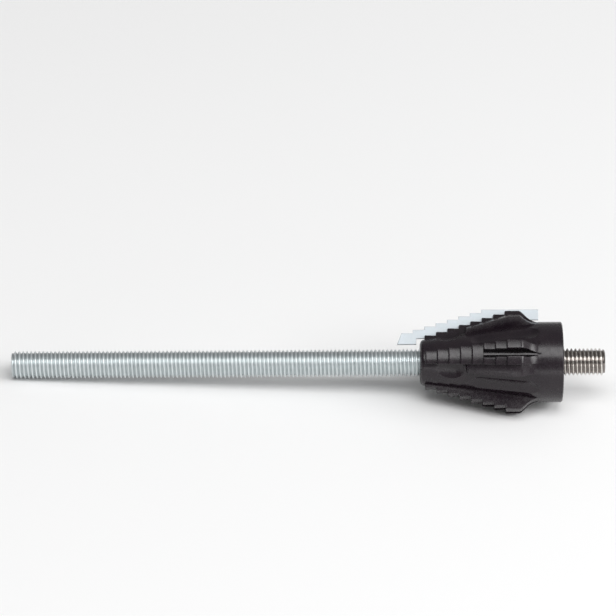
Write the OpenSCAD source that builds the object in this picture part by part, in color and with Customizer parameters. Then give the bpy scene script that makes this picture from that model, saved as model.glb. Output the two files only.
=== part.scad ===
// Stand-off anchor: a threaded rod and a stud held apart by a toothed plastic cone.
// Each piece is drawn round the Z axis with the collar's outer face at z = 0 and the nose below it,
// and then laid down as the anchor rests on a table, rod end low and stud end raised, along X.

/* [Threads] */
// Outside diameter of the thread on the rod and on the stud
thread_d = 12; // [11:0.5:13]
// Pitch of that thread
thread_pitch = 1.75; // [1.5:0.05:2]
// Clearance on the radius between each thread and the cone
thread_play = 0.06; // [0.04:0.01:0.1]

/* [Rod] */
// Length of the rod in front of the cone
rod_free = 178.3; // [120:0.1:260]
// Length of the rod that is screwed into the cone
rod_grip = 28; // [22:0.5:32]
// Chamfer at the rod's two ends
rod_chamfer = 0.9; // [0.5:0.1:1.2]

/* [Stud] */
// Length of the stud outside the collar
stud_free = 18.7; // [14:0.1:30]
// Length of the stud that is screwed into the collar
stud_grip = 21; // [14:0.5:24]
// Chamfer at the stud's two ends
stud_chamfer = 1.1; // [0.8:0.1:1.3]
// Width across the flats of the hexagon socket
socket_flats = 6; // [5:0.5:6.5]
// Depth of the hexagon socket
socket_depth = 6; // [4:0.5:8]

/* [Cone] */
// Length from the nose to the collar's outer face
cone_len = 62.2; // [60:0.1:66]
// Radius of the collar
collar_r = 17.6; // [17.4:0.05:17.75]
// Length of the plain collar
collar_len = 9.6; // [8:0.1:11]
// Radius of the core just behind the rounded nose
nose_r = 10; // [9:0.1:10.5]
// Radius of the flat ring at the tip of the nose
nose_tip_r = 7.3; // [7:0.1:8]
// Length of the rounded nose
nose_round = 1.7; // [1:0.1:2]

/* [Ribs] */
// Number of teeth on a rib
tooth_count = 8; // [7:1:8]
// Distance from one tooth to the next
tooth_pitch = 5; // [4.8:0.1:5]
// Height of the first tooth above the axis
tooth_first_r = 12; // [11.5:0.1:12.5]
// Height that each tooth adds
tooth_rise = 1.5; // [1.3:0.1:1.6]
// Fall of a tooth's top from its cutting edge to its back
tooth_fall = 0.15; // [0.1:0.05:0.6]
// Angle that the toothed land covers
land_angle = 29; // [26:1:30]
// Angle that the smooth shoulder behind the land covers
shoulder_angle = 15.3; // [12:0.1:16]
// How far the shoulder's top stays below the last tooth
shoulder_drop = 1.5; // [1.2:0.1:1.7]
// Angle of the ramp at the back of a rib
ramp_angle = 43; // [40:1:44]

/* [Slots] */
// Width of the slot in the rear half of a rib
slot_w = 3.65; // [3:0.05:4]
// Height of the slot's floor above the axis
slot_floor_r = 15; // [14.5:0.1:15.5]
// Thickness of the fin in the slot
fin_t = 1; // [0.8:0.1:1.2]
// Height of the fin's top above the axis
fin_top_r = 17.5; // [17.3:0.1:18]

/* [Flutes] */
// Radius of the flute's round section
flute_r = 9; // [8:0.1:10]
// Depth of the flute below the core
flute_depth = 0.9; // [0.6:0.1:1.2]
// Radius of the scoop in front of a shoulder
scoop_r = 14; // [12:0.5:14.5]
// Depth of the scoop below the core
scoop_depth = 1.2; // [0.8:0.1:1.3]

/* [Milling blade] */
// Thickness of the blade's sheet
blade_t = 1.2; // [1:0.1:1.5]
// Height of the blade's first step above the axis
blade_first_r = 13.1; // [12.8:0.1:13.4]
// Height that each step of the blade adds
blade_rise = 1.48; // [1.4:0.02:1.5]
// Length of the hooked tab in front of the first step
blade_tab = 1.9; // [1:0.1:2.5]

/* [Hidden] */
$fn = 96;
ARC_STEPS = 6;

// Threads are drawn plain: at their crest where they are free, and at their pitch line in the cone
crest_r = thread_d / 2;
thread_triangle = thread_pitch * cos(30);
pitch_line_r = crest_r - 3 / 8 * thread_triangle;
grip_r = pitch_line_r - thread_play / 2;
bore_r = pitch_line_r + thread_play / 2;
mouth_play = 0.25;
mouth_r = crest_r + mouth_play;
mouth_depth = mouth_r - bore_r;
free_start = 0.1;

nose_z = -cone_len;
rod_end_z = nose_z - rod_free;
bore_spare = 1.5;
cut_over = 1;

// Stations along the core and the ribs
collar_z = -collar_len;
collar_edge = 0.5;
first_tooth_back = 2.2;
first_tooth_z = nose_z + first_tooth_back;
last_tooth = tooth_count - 1;
rib_top_r = tooth_first_r + last_tooth * tooth_rise;
rib_inner_r = 8;
ramp_start_z = -19.3;
ramp_crest_round = 2.5;
ramp_foot_round = 9;
ramp_foot_share = 0.95;
ramp_foot_depth = 0.3;
ramp_foot_r = collar_r - ramp_foot_depth;
rib_rear_z = -8.8;
rib_count = 4;
rib_step = 360 / rib_count;
first_rib_angle = rib_step / 2;
blade_rib = 1;

shoulder_r = rib_top_r - shoulder_drop;
shoulder_front_z = -43.1;
shoulder_face_len = 1.3;
shoulder_front_r = 15.4;
shoulder_flat_z = -23.3;
shoulder_rear_z = -9;

slot_tooth = 5;
slot_front_z = first_tooth_z + slot_tooth * tooth_pitch;
slot_taper_z = -15.8;
slot_tip_z = -9.8;
fin_rear_z = -10;
fin_rear_r = 16.7;
fin_foot_r = slot_floor_r - cut_over;

flute_front_z = -37.5;
flute_rear_z = -15.6;
flute_middle = (shoulder_angle + rib_step) / 2;
scoop_z = -50.8;
scoop_middle = 27.5;

// Stations along the blade
blade_play = 0.05;
blade_lead_teeth = 2;
blade_first_z = first_tooth_z - blade_lead_teeth * tooth_pitch;
blade_top_r = blade_first_r + last_tooth * blade_rise;
blade_rear_z = -10;
blade_foot_front_r = 10.7;
blade_foot_rear_r = 18.8;
blade_foot_rear_z = -17;
tab_foot_r = 8.1;
tab_foot_edge = 0.3;
tab_rear_gap = 1.4;
tab_rear_z = nose_z - tab_rear_gap;

// The anchor lies on the inner corners of the two lower ribs' last teeth and on the rod's far end
last_tooth_z = first_tooth_z + last_tooth * tooth_pitch;
rest_angle = rib_step / 2 - land_angle / 2;
rib_rest_r = rib_top_r * cos(rest_angle);
rod_rest_z = rod_end_z + rod_chamfer;
tilt = atan((rib_rest_r - crest_r) / (last_tooth_z - rod_rest_z));
lift = crest_r * cos(tilt) - rod_rest_z * sin(tilt);
length_low = rod_end_z * cos(tilt) - (crest_r - rod_chamfer) * sin(tilt);
length_high = stud_free * cos(tilt) + (crest_r - stud_chamfer) * sin(tilt);

// Points along an arc of the given centre, radius and angles
function arc(centre, r, from, to) =
    [for (i = [0:ARC_STEPS]) let (a = from + (to - from) * i / ARC_STEPS) centre + r * [cos(a), sin(a)]];

// The ramp behind a rib, from height top to its foot: a round crest, a straight fall and a round foot.
// On a low rib the foot's rounding shrinks, so that some of the straight fall is left.
function ramp(top, start_z) =
    let (
        crest = [top - ramp_crest_round, start_z],
        fall_from = crest + ramp_crest_round * [cos(ramp_angle), sin(ramp_angle)],
        height = fall_from[0] - ramp_foot_r,
        foot_round = min(ramp_foot_round, ramp_foot_share * height / (1 - cos(ramp_angle))),
        foot_top = ramp_foot_r + foot_round * (1 - cos(ramp_angle)),
        fall_z = fall_from[1] + (fall_from[0] - foot_top) / tan(ramp_angle),
        foot = [ramp_foot_r + foot_round, fall_z + foot_round * sin(ramp_angle)]
    )
    concat(arc(crest, ramp_crest_round, 0, ramp_angle), arc(foot, foot_round, 180 + ramp_angle, 180));

// Lays the children down at the rest tilt, with their length centred over the origin
module lay_down() {
    translate([-(length_low + length_high) / 2, 0, lift]) rotate([0, 90 - tilt, 0]) children();
}

// The children at one rib: they are drawn with the rib's middle at angle 0
module at_rib(i) {
    rotate(first_rib_angle + i * rib_step) children();
}

// A copy of the children at each rib
module at_ribs() {
    for (i = [0:rib_count - 1]) at_rib(i) children();
}

// A flat plate in the plane of a rib's middle, from an outline of [height above the axis, z] points
module rib_plate(outline, thickness) {
    translate([0, thickness / 2, 0]) rotate([90, 0, 0]) linear_extrude(thickness) polygon(outline);
}

// A plain threaded bar: grip in the cone, then the free length out to the far end
module bar(grip_len, free_len, chamfer) {
    rotate_extrude() polygon([
        [0, -grip_len], [grip_r - chamfer, -grip_len], [grip_r, -grip_len + chamfer], [grip_r, -free_start],
        [crest_r, -free_start], [crest_r, free_len - chamfer], [crest_r - chamfer, free_len], [0, free_len]
    ]);
}

module anchor_rod() {
    color("#c3ccca") lay_down() translate([0, 0, nose_z]) mirror([0, 0, 1])
        bar(rod_grip, rod_free, rod_chamfer);
}

module threaded_stud() {
    socket_tip = socket_flats / 2 * tan(30);
    color("#b9b7b0") lay_down() difference() {
        bar(stud_grip, stud_free, stud_chamfer);
        translate([0, 0, stud_free - socket_depth])
            linear_extrude(socket_depth + cut_over) circle(d = socket_flats / cos(30), $fn = 6);
        translate([0, 0, stud_free - socket_depth - socket_tip])
            cylinder(h = socket_tip, r1 = 0, r2 = socket_flats / 2);
    }
}

// The core: rounded nose, straight cone and plain collar
module cone_core() {
    nose = [for (i = [0:ARC_STEPS]) let (a = 90 * i / ARC_STEPS)
        [nose_tip_r + (nose_r - nose_tip_r) * sin(a), nose_z + nose_round * (1 - cos(a))]];
    rotate_extrude() polygon(concat([[0, nose_z]], nose, [
        [collar_r, collar_z], [collar_r, -collar_edge],
        [collar_r - collar_edge, 0], [0, 0]
    ]));
}

// One toothed land, with a flat front to each tooth and a top that falls a little towards its back
module toothed_land() {
    teeth = [for (i = [0:last_tooth])
        let (r = tooth_first_r + i * tooth_rise, z = first_tooth_z + i * tooth_pitch)
        each i < last_tooth ? [[r, z], [r - tooth_fall, z + tooth_pitch]] : [[r, z]]];
    rotate(-land_angle / 2) rotate_extrude(angle = land_angle)
        polygon(concat([[rib_inner_r, first_tooth_z]], teeth, ramp(rib_top_r, ramp_start_z),
            [[ramp_foot_r, rib_rear_z], [rib_inner_r, rib_rear_z]]));
}

// The smooth shoulder that trails the land
module shoulder() {
    rotate_extrude(angle = land_angle / 2 + shoulder_angle)
        polygon(concat([
            [rib_inner_r, shoulder_front_z], [nose_r, shoulder_front_z],
            [shoulder_front_r, shoulder_front_z + shoulder_face_len], [shoulder_r, shoulder_flat_z]
        ], ramp(shoulder_r, ramp_start_z), [[ramp_foot_r, shoulder_rear_z], [rib_inner_r, shoulder_rear_z]]));
}

// The slot in a rib's rear half, pointed where it runs out on the collar
module slot_cut() {
    w = slot_w / 2;
    translate([slot_floor_r, 0, 0]) rotate([0, 90, 0]) linear_extrude(rib_top_r) polygon([
        [-slot_front_z, w], [-slot_taper_z, w], [-slot_tip_z, 0], [-slot_taper_z, -w], [-slot_front_z, -w]
    ]);
}

// The thin fin in the slot
module fin() {
    rib_plate([
        [fin_foot_r, slot_front_z - cut_over], [fin_top_r, slot_front_z - cut_over],
        [fin_top_r, slot_taper_z], [fin_rear_r, fin_rear_z], [fin_foot_r, fin_rear_z]
    ], fin_t);
}

// The core's radius at height z
function core_at(z) = let (front_z = nose_z + nose_round)
    nose_r + (collar_r - nose_r) * (z - front_z) / (collar_z - front_z);

// A round-ended flute between two ribs
module flute_cut() {
    front = [core_at(flute_front_z) - flute_depth + flute_r, 0, flute_front_z];
    rear = [core_at(flute_rear_z) - flute_depth + flute_r, 0, flute_rear_z];
    lean = atan((rear[0] - front[0]) / (rear[2] - front[2]));
    rotate(flute_middle) {
        translate(front) rotate([0, lean, 0]) cylinder(r = flute_r, h = norm(rear - front));
        translate(front) rotate([0, lean, 0]) sphere(flute_r);
        translate(rear) rotate([0, lean, 0]) sphere(flute_r);
    }
}

// A round scoop in the core in front of a rib's shoulder
module scoop_cut() {
    rotate(scoop_middle) translate([core_at(scoop_z) - scoop_depth + scoop_r, 0, scoop_z]) sphere(scoop_r);
}

// The core with its flutes and scoops
module fluted_core() {
    difference() {
        cone_core();
        at_ribs() {
            flute_cut();
            scoop_cut();
        }
    }
}

// The groove that holds the blade in its rib
module blade_groove() {
    rib_plate([
        [blade_foot_front_r, nose_z - cut_over], [blade_foot_front_r, first_tooth_z],
        [blade_foot_rear_r, blade_foot_rear_z], [blade_foot_rear_r, blade_rear_z],
        [rib_top_r + cut_over, blade_rear_z], [rib_top_r + cut_over, nose_z - cut_over]
    ], blade_t + 2 * blade_play);
}

// A blind threaded hole from z = 0 downwards, drawn plain, with a lead-in at its mouth
module thread_bore(depth) {
    translate([0, 0, -depth]) cylinder(r = bore_r, h = depth + cut_over);
    translate([0, 0, -mouth_depth])
        cylinder(r1 = bore_r, r2 = mouth_r + cut_over, h = mouth_depth + cut_over);
}

module cone() {
    color("#2a272d") lay_down() difference() {
        union() {
            difference() {
                union() {
                    fluted_core();
                    at_ribs() {
                        toothed_land();
                        shoulder();
                    }
                }
                at_ribs() slot_cut();
            }
            at_ribs() fin();
        }
        at_rib(blade_rib) blade_groove();
        thread_bore(stud_grip + bore_spare);
        translate([0, 0, nose_z]) mirror([0, 0, 1]) thread_bore(rod_grip + bore_spare);
    }
}

// The stepped sheet-steel blade with its hooked front tab
module milling_blade() {
    tab_front_z = blade_first_z - blade_tab;
    steps = [for (i = [0:last_tooth])
        let (r = blade_first_r + i * blade_rise, z = blade_first_z + i * tooth_pitch)
        each i == 0 ? [[r, z]] : [[r - blade_rise, z], [r, z]]];
    tab = [[tab_foot_r, tab_rear_z], [tab_foot_r, tab_front_z], [tab_foot_r + tab_foot_edge, tab_front_z]];
    rear = [[blade_top_r, blade_rear_z], [blade_foot_rear_r, blade_rear_z]];
    foot = [
        [blade_foot_rear_r, blade_foot_rear_z], [blade_foot_front_r, first_tooth_z],
        [blade_foot_front_r, tab_rear_z]
    ];
    color("#d3dae0") lay_down() at_rib(blade_rib) rib_plate(concat(tab, steps, rear, foot), blade_t);
}

anchor_rod();
cone();
threaded_stud();
milling_blade();
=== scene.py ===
"""Looks of a stand-off anchor: a zinc-plated rod and a stainless stud in a toothed plastic cone.

The pieces are drawn in millimetres round the Z axis, as the part is: the collar's outer face is at
z = 0, and the nose and the rod are below it. LAY then lays them down, in metres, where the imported
part lies.
"""

import math

import bmesh
import bpy
import numpy as np
from mathutils import Matrix, Vector


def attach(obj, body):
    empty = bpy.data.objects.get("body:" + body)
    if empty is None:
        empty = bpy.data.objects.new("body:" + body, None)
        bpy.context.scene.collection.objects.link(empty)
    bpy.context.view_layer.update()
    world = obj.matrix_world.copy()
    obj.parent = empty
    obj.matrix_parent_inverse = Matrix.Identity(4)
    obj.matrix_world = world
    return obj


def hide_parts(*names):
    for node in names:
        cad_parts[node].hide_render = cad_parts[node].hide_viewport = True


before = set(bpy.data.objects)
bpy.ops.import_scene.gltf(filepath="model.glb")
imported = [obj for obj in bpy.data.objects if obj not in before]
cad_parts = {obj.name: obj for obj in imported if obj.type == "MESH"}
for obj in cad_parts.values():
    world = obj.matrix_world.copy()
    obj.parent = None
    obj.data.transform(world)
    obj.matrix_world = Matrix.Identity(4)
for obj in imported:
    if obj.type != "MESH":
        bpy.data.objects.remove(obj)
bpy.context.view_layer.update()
scene = bpy.context.scene
scene.view_settings.view_transform = "Standard"

# The rod and the stud, in millimetres
CREST_R = 6.0
PITCH = 1.75
ROD_FREE = 178.3
ROD_GRIP = 28.0
ROD_CHAMFER = 0.9
STUD_FREE = 18.7
STUD_GRIP = 21.0
STUD_CHAMFER = 1.1
SOCKET_FLATS = 6.0
SOCKET_DEPTH = 6.0
SOCKET_EDGE = 0.25
DRILL_POINT = math.radians(30)

# The cone and its bores, in millimetres
CONE_LEN = 62.2
NOSE_TIP_R = 7.3
BORE_SPARE = 1.5
BORE_PLAY = 0.05
MOUTH_R = 6.25

# The teeth, in millimetres and degrees
FIRST_TOOTH_Z = -60.0
FIRST_TOOTH_R = 12.0
TOOTH_COUNT = 8
TOOTH_PITCH = 5.0
TOOTH_RISE = 1.5
LAST_TOOTH = TOOTH_COUNT - 1
LAST_TOOTH_Z = FIRST_TOOTH_Z + LAST_TOOTH * TOOTH_PITCH
LAST_TOOTH_R = FIRST_TOOTH_R + LAST_TOOTH * TOOTH_RISE
FIRST_RIB_ANGLE = 45.0
LAND_ANGLE = 29.0

# How the anchor lies: on the last teeth of its two lower ribs and on the rod's far end
REST_R = LAST_TOOTH_R * math.cos(math.radians(FIRST_RIB_ANGLE - LAND_ANGLE / 2))
ROD_END_Z = -CONE_LEN - ROD_FREE
ROD_REST_Z = ROD_END_Z + ROD_CHAMFER
TILT = math.atan((REST_R - CREST_R) / (LAST_TOOTH_Z - ROD_REST_Z))
LIFT = CREST_R * math.cos(TILT) - ROD_REST_Z * math.sin(TILT)
LEFT_END = ROD_END_Z * math.cos(TILT) - (CREST_R - ROD_CHAMFER) * math.sin(TILT)
RIGHT_END = STUD_FREE * math.cos(TILT) + (CREST_R - STUD_CHAMFER) * math.sin(TILT)
MIDDLE = (LEFT_END + RIGHT_END) / 2

# From the part's own millimetres to where it lies, in metres
MM = 0.001
LAY = Matrix((
    (math.sin(TILT) * MM, 0, math.cos(TILT) * MM, -MIDDLE * MM),
    (0, MM, 0, 0),
    (-math.cos(TILT) * MM, 0, math.sin(TILT) * MM, LIFT * MM),
    (0, 0, 0, 1),
))
AXIS = LAY.to_3x3().normalized() @ Vector((0, 0, 1))


# Meshes

SEGMENTS = 48
SHARP_ANGLE = math.radians(38)
WELD_MM = 1e-4

# Names that Blender gives to a mesh's own normals and to its bevel weights
OWN_NORMALS = "custom_normal"
BEVEL_WEIGHT = "bevel_weight_edge"


def add_ring(bm, z, radius):
    """SEGMENTS vertices round the axis; radius is a number, or one for each vertex."""
    turn = np.arange(SEGMENTS) * 2 * math.pi / SEGMENTS
    r = np.broadcast_to(radius, SEGMENTS)
    points = np.column_stack((r * np.cos(turn), r * np.sin(turn), np.full(SEGMENTS, float(z))))
    return [bm.verts.new(p) for p in points]


def add_strip(bm, lower, upper):
    """Faces between two loops of the same number of vertices."""
    count = len(lower)
    for i in range(count):
        j = (i + 1) % count
        bm.faces.new((lower[i], lower[j], upper[j], upper[i]))


def add_fan(bm, loop, z):
    """Faces from a loop to one point of the axis."""
    tip = bm.verts.new((0, 0, z))
    for i, v in enumerate(loop):
        bm.faces.new((v, loop[(i + 1) % len(loop)], tip))


def angle(v):
    """A vertex's angle round the axis, from 0 to a whole turn."""
    return math.atan2(v.co.y, v.co.x) % (2 * math.pi)


def in_order(loop):
    """A loop's vertices in order of their angle round the axis."""
    return sorted(loop, key=angle)


def add_zip(bm, outer, inner):
    """Triangles between two loops in one plane round the axis, with any numbers of vertices."""
    a, b = in_order(outer), in_order(inner)
    i = j = 0
    while i < len(a) or j < len(b):
        next_a = angle(a[i + 1]) if i + 1 < len(a) else 2 * math.pi + angle(a[0])
        next_b = angle(b[j + 1]) if j + 1 < len(b) else 2 * math.pi + angle(b[0])
        if j >= len(b) or (i < len(a) and next_a <= next_b):
            bm.faces.new((a[i % len(a)], a[(i + 1) % len(a)], b[j % len(b)]))
            i += 1
        else:
            bm.faces.new((a[i % len(a)], b[(j + 1) % len(b)], b[j % len(b)]))
            j += 1


def finished(bm, name, material, body, node):
    """The piece made from a bmesh in millimetres: laid down, smooth, and riding on its body."""
    bmesh.ops.recalc_face_normals(bm, faces=bm.faces)
    bm.transform(LAY)
    mesh = bpy.data.meshes.new(name)
    bm.to_mesh(mesh)
    bm.free()
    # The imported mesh's own normals don't fit the rounded edges, and the weights have been used
    for leftover in (OWN_NORMALS, BEVEL_WEIGHT):
        if leftover in mesh.attributes:
            mesh.attributes.remove(mesh.attributes[leftover])
    mesh.shade_smooth()
    mesh.set_sharp_from_angle(angle=SHARP_ANGLE)
    mesh.materials.append(material)
    piece = bpy.data.objects.new(name, mesh)
    scene.collection.objects.link(piece)
    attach(piece, body)
    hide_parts(node)
    return piece


# Threads

# One pitch of the thread: how far along it, and how far below the crest, both in pitches
THREAD_ALONG = np.array((-0.045, 0.045, 0.1, 0.4, 0.455, 0.545, 0.6, 0.9))
THREAD_DOWN = np.array((0, 0, 0.06, 0.57, 0.6134, 0.6134, 0.57, 0.06))
THREAD_ROWS = len(THREAD_ALONG)
SPARE_TURNS = 2


def thread_rim(bm, z):
    """A thread's vertices in one plane, in order of their angle round the axis."""
    reach = MOUTH_R + WELD_MM
    return in_order(v for v in bm.verts if abs(v.co.z - z) < WELD_MM and v.co.xy.length < reach)


def add_thread(bm, z_from, z_to, bound):
    """A right-hand thread's surface between two planes. Returns its two rims.

    bound(z, r) trims the radius. What would reach past a plane is pressed flat into it.
    """
    first = math.floor(z_from / PITCH) - SPARE_TURNS
    turns = math.ceil(z_to / PITCH) + SPARE_TURNS - first
    along = (np.arange(turns)[:, None] + first + THREAD_ALONG).ravel()
    turn = np.arange(SEGMENTS) / SEGMENTS
    z = np.clip((along[:, None] + turn) * PITCH, z_from, z_to)
    down = np.interp(z / PITCH - turn, THREAD_ALONG, THREAD_DOWN, period=1)
    r = bound(z, CREST_R - down * PITCH)
    a = turn * 2 * math.pi
    points = np.dstack((r * np.cos(a), r * np.sin(a), z))
    verts = [[bm.verts.new(p) for p in row] for row in points]
    for j in range(SEGMENTS):
        # The column after the last is the first one, a whole pitch further on
        n, shift = (j + 1, 0) if j + 1 < SEGMENTS else (0, THREAD_ROWS)
        for k in range(len(along) - 1 - shift):
            bm.faces.new((verts[k][j], verts[k + shift][n], verts[k + shift + 1][n], verts[k + 1][j]))
    bmesh.ops.remove_doubles(bm, verts=[v for row in verts for v in row], dist=WELD_MM)
    return thread_rim(bm, z_from), thread_rim(bm, z_to)


def chamfered(z_from, z_to, chamfer):
    """Trims a bar's thread to a chamfer at both ends."""
    return lambda z, r: np.minimum(r, CREST_R - chamfer + np.minimum(z - z_from, z_to - z))


def make_rod(material):
    """The rod, with its hidden end in the cone's nose."""
    bm = bmesh.new()
    top = -CONE_LEN + ROD_GRIP
    low, high = add_thread(bm, ROD_END_Z, top, chamfered(ROD_END_Z, top, ROD_CHAMFER))
    add_fan(bm, low, ROD_END_Z)
    add_fan(bm, high, top)
    finished(bm, "threaded_rod", material, "rod", "anchor_rod")


def make_stud(material):
    """The stud, with a hexagon socket that ends in the point of its drilled hole."""
    bm = bmesh.new()
    bound = chamfered(-STUD_GRIP, STUD_FREE, STUD_CHAMFER)
    low, high = add_thread(bm, -STUD_GRIP, STUD_FREE, bound)
    add_fan(bm, low, -STUD_GRIP)
    # Each side of the hexagon covers 60 degrees
    from_side_middle = np.radians(np.arange(SEGMENTS) * 360 / SEGMENTS % 60 - 30)
    hexagon = SOCKET_FLATS / 2 / np.cos(from_side_middle)
    chamfered_hexagon = hexagon * (1 + 2 * SOCKET_EDGE / SOCKET_FLATS)
    drill_r = SOCKET_FLATS / 2 - SOCKET_EDGE / 2
    floor_z = STUD_FREE - SOCKET_DEPTH
    loops = [
        high,
        add_ring(bm, STUD_FREE, chamfered_hexagon),
        add_ring(bm, STUD_FREE - SOCKET_EDGE, hexagon),
        add_ring(bm, floor_z, hexagon),
        add_ring(bm, floor_z, drill_r),
    ]
    for lower, upper in zip(loops, loops[1:]):
        add_strip(bm, lower, upper)
    add_fan(bm, loops[-1], floor_z - drill_r * math.tan(DRILL_POINT))
    finished(bm, "hexagon_stud", material, "stud", "threaded_stud")


# Cone and blade

# Widths of the rounded edges, in millimetres
TOOTH_EDGE = 0.65
SOFT_EDGE = 0.16
BLADE_EDGE = 0.12
EDGE_STEPS = 3

# Outer edges from HARD_ANGLE on are rounded, and faces that meet within FLAT_ANGLE become one
HARD_ANGLE = math.radians(30)
FLAT_ANGLE = math.radians(0.5)
CAD_WELD = 0.002


def packed_solid(node):
    """A CAD node's solid in the part's own millimetres, with its flat faces whole."""
    bm = bmesh.new()
    bm.from_mesh(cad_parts[node].data)
    bm.transform(LAY.inverted())
    bmesh.ops.remove_doubles(bm, verts=bm.verts, dist=CAD_WELD)
    bmesh.ops.dissolve_limit(bm, angle_limit=FLAT_ANGLE, verts=bm.verts, edges=bm.edges)
    return bm


def soften(bm, width_of):
    """A copy whose outer edges are rounded, each by width_of(edge) millimetres."""
    weight = bm.edges.layers.float.new(BEVEL_WEIGHT)
    for edge in bm.edges:
        if edge.calc_face_angle_signed(0) > HARD_ANGLE:
            edge[weight] = width_of(edge) / TOOTH_EDGE
    mesh = bpy.data.meshes.new("sharp")
    bm.to_mesh(mesh)
    bm.free()
    sharp = bpy.data.objects.new("sharp", mesh)
    scene.collection.objects.link(sharp)
    bevel = sharp.modifiers.new("soft_edges", "BEVEL")
    bevel.limit_method = "WEIGHT"
    bevel.width = TOOTH_EDGE
    bevel.segments = EDGE_STEPS
    bevel.use_clamp_overlap = False
    soft = bmesh.new()
    soft.from_object(sharp, bpy.context.evaluated_depsgraph_get())
    bpy.data.objects.remove(sharp)
    bpy.data.meshes.remove(mesh)
    return soft


def is_cutting_edge(edge):
    """Whether an edge lies along the front of a tooth's top."""
    tooth = round((edge.verts[0].co.z - FIRST_TOOTH_Z) / TOOTH_PITCH)
    tooth_z = FIRST_TOOTH_Z + tooth * TOOTH_PITCH
    tooth_r = FIRST_TOOTH_R + tooth * TOOTH_RISE
    on_arc = all(abs(v.co.z - tooth_z) < CAD_WELD and abs(v.co.xy.length - tooth_r) < CAD_WELD
                 for v in edge.verts)
    return on_arc and 0 <= tooth < TOOTH_COUNT


def cone_edge(edge):
    """How wide an edge of the cone is rounded: the teeth most, and the bores not at all."""
    if min(v.co.xy.length for v in edge.verts) < NOSE_TIP_R:
        return 0
    return TOOTH_EDGE if is_cutting_edge(edge) else SOFT_EDGE


def in_bore_or_end(face):
    """Whether a face of the cone is in a bore, on the nose's tip or on the collar's end."""
    in_nose = all(v.co.xy.length < NOSE_TIP_R + CAD_WELD for v in face.verts)
    on_collar = all(v.co.z > -CAD_WELD for v in face.verts)
    return in_nose or on_collar


def rod_bore(z, r):
    """Trims the thread in the nose: looser than the rod's, and opened at its mouth."""
    return np.maximum(r + BORE_PLAY, MOUTH_R - (z + CONE_LEN))


def stud_bore(z, r):
    """Trims the thread in the collar: looser than the stud's, and opened at its mouth."""
    return np.maximum(r + BORE_PLAY, MOUTH_R + z)


def even_shading(piece):
    """Keeps large faces flat beside their rounded edges."""
    modifier = piece.modifiers.new("even_shading", "WEIGHTED_NORMAL")
    modifier.keep_sharp = True


def make_cone(material):
    """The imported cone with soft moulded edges, and with real threads in its two bores."""
    bm = soften(packed_solid("cone"), cone_edge)
    replaced = [face for face in bm.faces if in_bore_or_end(face)]
    bmesh.ops.delete(bm, geom=replaced, context="FACES")
    rims = {v for edge in bm.edges if edge.is_boundary for v in edge.verts}
    nose_rim = [v for v in rims if v.co.z < -CONE_LEN / 2]
    collar_rim = [v for v in rims if v.co.z > -CONE_LEN / 2]

    rod_floor = -CONE_LEN + ROD_GRIP + BORE_SPARE
    mouth, end = add_thread(bm, -CONE_LEN, rod_floor, rod_bore)
    add_zip(bm, nose_rim, mouth)
    add_fan(bm, end, rod_floor)

    stud_floor = -STUD_GRIP - BORE_SPARE
    end, mouth = add_thread(bm, stud_floor, 0, stud_bore)
    add_zip(bm, collar_rim, mouth)
    add_fan(bm, end, stud_floor)

    even_shading(finished(bm, "moulded_cone", material, "cone", "cone"))


def make_blade(material):
    """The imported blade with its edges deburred."""
    bm = soften(packed_solid("milling_blade"), lambda edge: BLADE_EDGE)
    piece = finished(bm, "stepped_blade", material, "cone", "milling_blade")
    even_shading(piece)


# Materials

# How far below its crest a thread's painted shade has reached its darkest, in millimetres
THREAD_SHADE_DEPTH = 0.95


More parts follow.
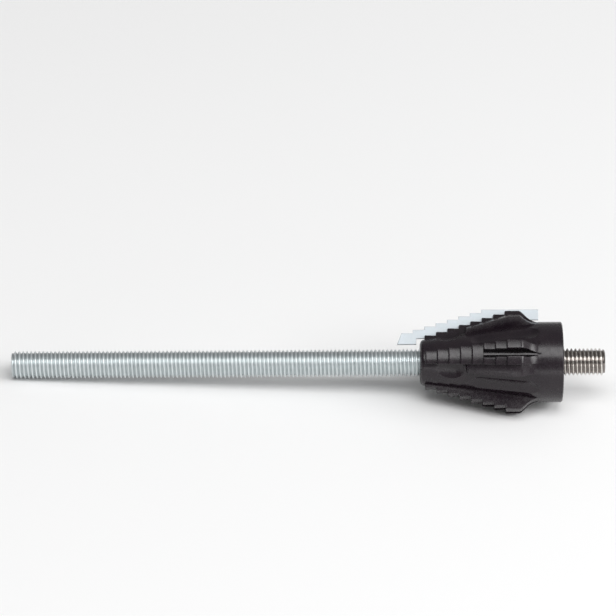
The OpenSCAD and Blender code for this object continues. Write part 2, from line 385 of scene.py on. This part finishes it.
class Shader:
    """A material with one Principled shader, fed by patterns in the piece's own coordinates."""

    def __init__(self, name, **uniform):
        self.material = bpy.data.materials.new(name)
        self.material.use_nodes = True
        self.tree = self.material.node_tree
        self.surface = self.tree.nodes["Principled BSDF"]
        self.place = self.node("ShaderNodeTexCoord").outputs["Object"]
        for socket, value in uniform.items():
            self.feed(self.surface.inputs[socket.replace("_", " ")], value)

    def feed(self, socket, value):
        """Links another node's output to a socket, or sets the socket to a plain value."""
        if isinstance(value, bpy.types.NodeSocket):
            self.tree.links.new(value, socket)
        else:
            socket.default_value = value

    def node(self, kind, **inputs):
        """A new node; the names of its inputs have _ for a space."""
        made = self.tree.nodes.new(kind)
        for socket, value in inputs.items():
            self.feed(made.inputs[socket.replace("_", " ")], value)
        return made

    def vector(self, operation, *values):
        """A vector operation on one or two values."""
        made = self.node("ShaderNodeVectorMath")
        made.operation = operation
        for socket, value in zip(made.inputs, values):
            self.feed(socket, value)
        return made

    def noise(self, size_mm, detail=3.0):
        """Noise between 0 and 1 with grains of about that size."""
        scale = 1 / (size_mm * MM)
        made = self.node("ShaderNodeTexNoise", Vector=self.place, Scale=scale, Detail=detail)
        return made.outputs["Fac"]

    def spread(self, value, low, high, from_low=0.3, from_high=0.7):
        """The value's middle range stretched from low to high."""
        made = self.node("ShaderNodeMapRange", Value=value, From_Min=from_low, From_Max=from_high,
                         To_Min=low, To_Max=high)
        return made.outputs["Result"]

    def depth_in_thread(self):
        """0 at a thread's crest and 1 near its root, from the distance to the anchor's axis; it masks
        the painted shade in the roots.
        """
        from_collar = self.vector("SUBTRACT", self.place, LAY.translation)
        across = self.vector("CROSS_PRODUCT", from_collar.outputs["Vector"], AXIS)
        distance = self.vector("LENGTH", across.outputs["Vector"]).outputs["Value"]
        return self.spread(distance, 1, 0, (CREST_R - THREAD_SHADE_DEPTH) * MM, CREST_R * MM)

    def blend(self, mask, first, second):
        """From the first colour to the second as the mask goes from 0 to 1."""
        made = self.node("ShaderNodeMix")
        made.data_type = "RGBA"
        colours = {socket.name: socket for socket in made.inputs if socket.type == "RGBA"}
        self.feed(made.inputs["Factor"], mask)
        self.feed(colours["A"], first)
        self.feed(colours["B"], second)
        return next(socket for socket in made.outputs if socket.type == "RGBA")

    def colour(self, value):
        self.feed(self.surface.inputs["Base Color"], value)

    def roughness(self, value):
        self.feed(self.surface.inputs["Roughness"], value)

    def bump(self, height, depth_mm, strength):
        """Fine relief, for the grain that is too small to be made in the mesh."""
        made = self.node("ShaderNodeBump", Height=height, Distance=depth_mm * MM, Strength=strength)
        self.feed(self.surface.inputs["Normal"], made.outputs["Normal"])


def zinc_plating():
    """Bright zinc on a rolled thread: faintly blue and a little cloudy, with painted shade that
    darkens the thread's roots.
    """
    m = Shader("bright_zinc", Metallic=1.0)
    clouds = m.spread(m.noise(4.0), 0, 1)
    crest = m.blend(clouds, (0.78, 0.82, 0.83, 1), (0.84, 0.87, 0.88, 1))
    # Painted shade: the colour darkens from the crest towards the roots, where shade falls between
    # the flanks
    m.colour(m.blend(m.depth_in_thread(), crest, (0.54, 0.58, 0.59, 1)))
    m.roughness(m.spread(m.noise(0.5), 0.40, 0.48))
    m.bump(m.noise(0.35), 0.02, 0.35)
    return m.material


def rolled_stainless():
    """Stainless steel: warmer than zinc, with painted shade that darkens its thread's roots."""
    m = Shader("rolled_stainless", Metallic=1.0)
    clouds = m.spread(m.noise(3.0), 0, 1)
    crest = m.blend(clouds, (0.72, 0.69, 0.66, 1), (0.79, 0.76, 0.73, 1))
    # Painted shade: the colour darkens from the crest towards the roots, where shade falls between
    # the flanks
    m.colour(m.blend(m.depth_in_thread(), crest, (0.28, 0.255, 0.24, 1)))
    m.roughness(m.spread(m.noise(0.4), 0.18, 0.28))
    m.bump(m.noise(0.3), 0.02, 0.25)
    return m.material


def moulded_plastic():
    """Glass-fibre reinforced black plastic: satin, with a fine grain and faint flow marks."""
    m = Shader("black_moulding", Specular_IOR_Level=0.45)
    flow_marks = m.spread(m.noise(7.0, 2.0), 0, 1)
    m.colour(m.blend(flow_marks, (0.009, 0.005, 0.0085, 1), (0.014, 0.009, 0.0125, 1)))
    m.roughness(m.spread(m.noise(1.6, 4.0), 0.2, 0.32))
    m.bump(m.noise(0.3, 2.0), 0.03, 0.3)
    return m.material


def galvanised_sheet():
    """Galvanised sheet with a faint spangle."""
    m = Shader("galvanised", Metallic=1.0)
    cells = m.node("ShaderNodeTexVoronoi", Vector=m.place, Scale=1 / (2.2 * MM))
    spangle = m.node("ShaderNodeSeparateColor", Color=cells.outputs["Color"]).outputs["Red"]
    m.colour(m.blend(spangle, (0.43, 0.465, 0.49, 1), (0.47, 0.505, 0.53, 1)))
    m.roughness(m.spread(spangle, 0.52, 0.57, 0, 1))
    m.bump(m.noise(0.4), 0.02, 0.25)
    return m.material


def paper():
    """The pale floor."""
    floor_white = (0.88, 0.88, 0.88, 1)
    m = Shader("pale_floor", Base_Color=floor_white, Roughness=0.9, Specular_IOR_Level=0.1)
    return m.material


# Camera

# The photograph, in pixels: its side, how far from the left the collar's face is, how far below
# the middle the anchor's axis passes, and the scale there
IMAGE_SIDE = 616
COLLAR_FROM_LEFT = 561.8
AXIS_BELOW_MIDDLE = 55.3
PIXELS_PER_METRE = 2286.0

# The camera, in radians and metres, and its sensor in millimetres
ELEVATION = math.radians(32.5)
ROLL = math.radians(0.3)
DISTANCE = 1.95
SENSOR_MM = 36.0
CLIP_START = 0.05
CLIP_END = 30


def make_camera():
    """The photograph's view: square to the anchor's axis, which rises a little to the right."""
    azimuth = math.asin(-math.tan(ELEVATION) * math.tan(TILT))
    level = math.cos(ELEVATION)
    back = Vector((math.sin(azimuth) * level, -math.cos(azimuth) * level, math.sin(ELEVATION)))
    right = AXIS * math.cos(ROLL) - back.cross(AXIS) * math.sin(ROLL)
    up = back.cross(right)
    turn = Matrix((right, up, back)).transposed().to_4x4()
    along = (IMAGE_SIDE / 2 - COLLAR_FROM_LEFT) / PIXELS_PER_METRE / MM
    target = LAY @ Vector((0, 0, along)) + up * (AXIS_BELOW_MIDDLE / PIXELS_PER_METRE)
    camera = bpy.data.objects.new("camera", bpy.data.cameras.new("camera"))
    camera.data.sensor_width = SENSOR_MM
    camera.data.lens = SENSOR_MM * DISTANCE / (IMAGE_SIDE / PIXELS_PER_METRE)
    camera.data.clip_start = CLIP_START
    camera.data.clip_end = CLIP_END
    camera.matrix_world = Matrix.Translation(target + back * DISTANCE) @ turn
    scene.collection.objects.link(camera)
    scene.camera = camera


# Floor and light

# In metres
FLOOR_HALF = 12.0
LAMP_DISTANCE = 2.6


def make_floor(material):
    """A square floor under the anchor."""
    mesh = bpy.data.meshes.new("floor")
    h = FLOOR_HALF
    mesh.from_pydata([(-h, -h, 0), (h, -h, 0), (h, h, 0), (-h, h, 0)], [], [(0, 1, 2, 3)])
    mesh.materials.append(material)
    floor = bpy.data.objects.new("floor", mesh)
    scene.collection.objects.link(floor)


def make_softbox(name, elevation, azimuth, width, height, brightness):
    """A flat lamp that faces the anchor.

    The angles are in degrees. As the photograph shows it, azimuth 0 is in front and 90 on the
    right. The brightness is that of the lamp's surface, whatever its size.
    """
    e, a = math.radians(elevation), math.radians(azimuth)
    away = Vector((math.sin(a) * math.cos(e), -math.cos(a) * math.cos(e), math.sin(e)))
    light = bpy.data.lights.new(name, "AREA")
    light.shape = "RECTANGLE"
    light.size = width
    light.size_y = height
    light.energy = brightness * math.pi * width * height
    lamp = bpy.data.objects.new(name, light)
    lamp.location = away * LAMP_DISTANCE
    lamp.rotation_euler = (-away).to_track_quat("-Z", "Y").to_euler()
    scene.collection.objects.link(lamp)


def make_world(left, right):
    """A studio whose brightness grows from the left side to the right."""
    world = bpy.data.worlds.new("studio")
    scene.world = world
    world.use_nodes = True
    tree = world.node_tree
    direction = tree.nodes.new("ShaderNodeTexCoord").outputs["Generated"]
    parts = tree.nodes.new("ShaderNodeSeparateXYZ")
    tree.links.new(direction, parts.inputs["Vector"])
    brightness = tree.nodes.new("ShaderNodeMapRange")
    tree.links.new(parts.outputs["X"], brightness.inputs["Value"])
    brightness.inputs["From Min"].default_value = -1
    brightness.inputs["To Min"].default_value = left
    brightness.inputs["To Max"].default_value = right
    background = tree.nodes["Background"]
    background.inputs["Color"].default_value = (1, 1, 1, 1)
    tree.links.new(brightness.outputs["Result"], background.inputs["Strength"])


# The scene

make_rod(zinc_plating())
make_stud(rolled_stainless())
make_cone(moulded_plastic())
make_blade(galvanised_sheet())
make_camera()
make_floor(paper())
make_softbox("key_light", elevation=63, azimuth=-4, width=2.0, height=1.3, brightness=4.3)
make_softbox("low_light", elevation=5.5, azimuth=0, width=3.0, height=0.4, brightness=2.1)
make_softbox("right_light", elevation=33, azimuth=74, width=1.9, height=1.3, brightness=5.8)
make_world(left=0.1, right=0.56)
